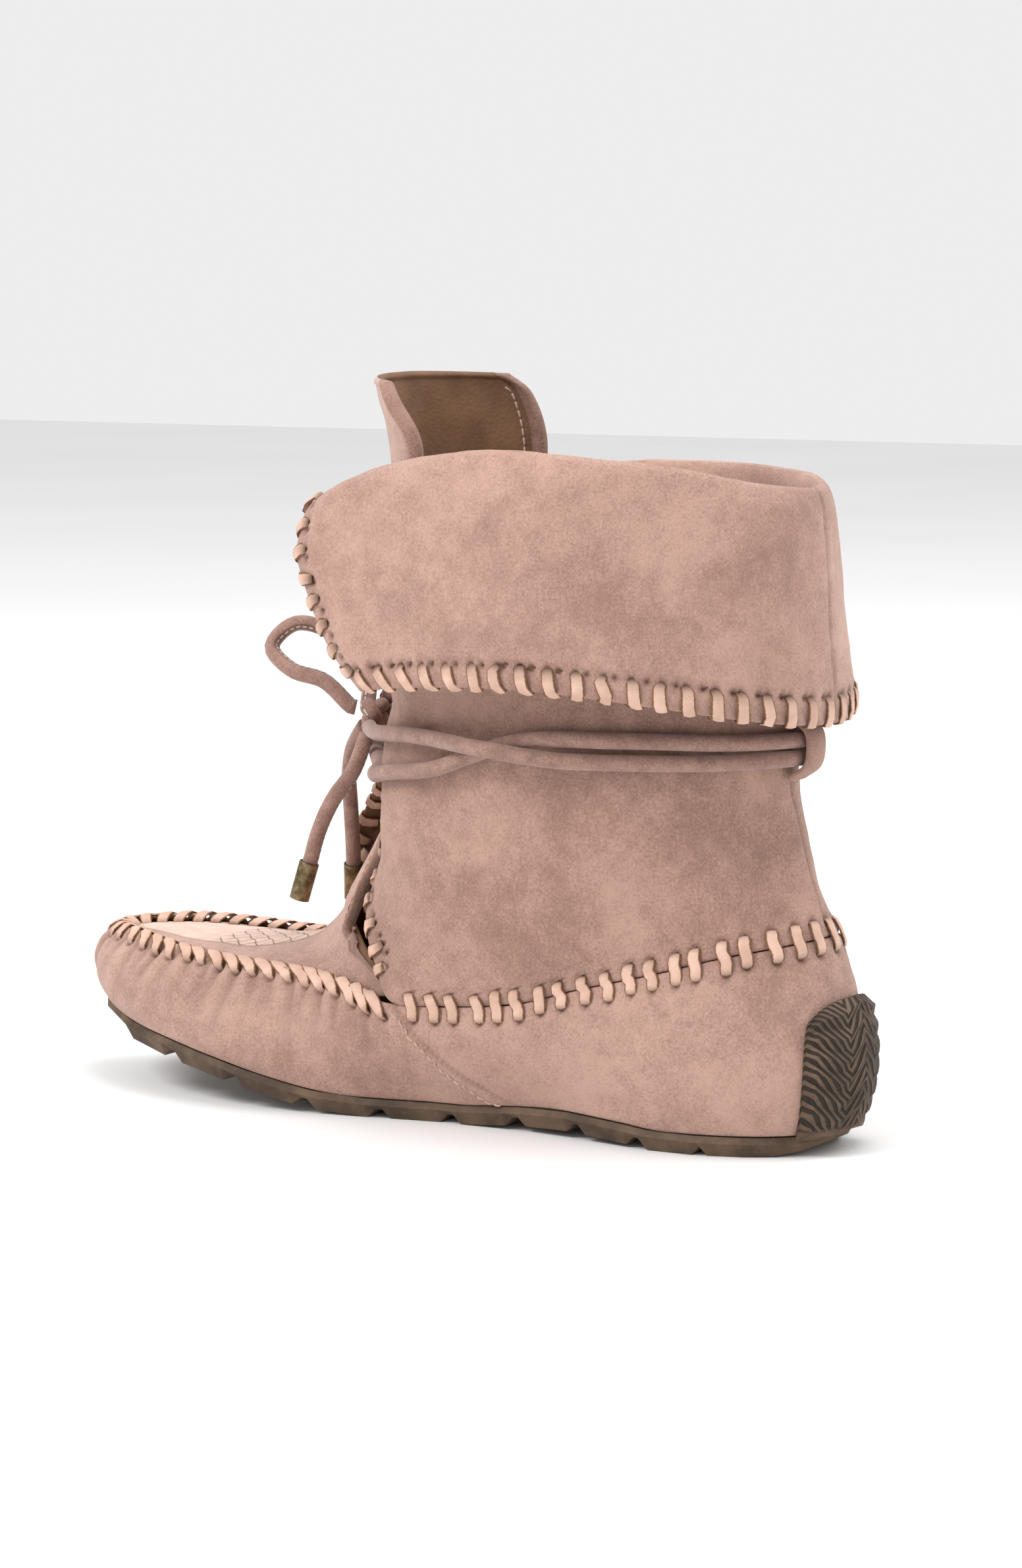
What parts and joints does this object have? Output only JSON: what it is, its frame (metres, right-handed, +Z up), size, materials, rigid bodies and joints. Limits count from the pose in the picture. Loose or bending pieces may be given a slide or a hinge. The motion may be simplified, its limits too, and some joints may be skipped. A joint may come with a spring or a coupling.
{
  "type": "moccasin boot",
  "caption": "Soft ankle-high moccasin boot for the right foot, with a wide turned-down cuff, a tall tongue, a cord tied round the ankle and a thin rubber sole.",
  "frame": {"origin": "on the floor, on the flat face of a lug under the middle of the sole", "axes": "-X towards the toe, +X towards the heel, -Y towards the inner side of the foot, +Z up"},
  "size_m": [0.2543, 0.1197, 0.2066],
  "materials": {
    "outsole": "matte moulded rubber",
    "insole": "smooth lining leather",
    "upper": "dusty pink suede",
    "apron_tongue": "dusty pink suede, smooth brown lining",
    "shaft": "dusty pink suede",
    "back_loop": "suede",
    "tie_wrap": "stitched suede cord",
    "tie_knot": "stitched suede cord",
    "tie_loop_near": "stitched suede cord",
    "tie_loop_far": "stitched suede cord",
    "tie_end_near": "stitched suede cord",
    "tie_end_far": "stitched suede cord",
    "aglet_near": "antique brass",
    "aglet_far": "antique brass"
  },
  "bodies": {
    "root": {"outsole": "outsole", "insole": "insole", "upper": "upper", "apron_tongue": "apron_tongue", "shaft": "shaft", "back_loop": "back_loop", "tie_wrap": "tie_wrap", "tie_knot": "tie_knot", "tie_loop_near": "tie_loop_near", "tie_loop_far": "tie_loop_far", "tie_end_near": "tie_end_near", "tie_end_far": "tie_end_far", "aglet_near": "aglet_near", "aglet_far": "aglet_far"}
  },
  "joints": []
}
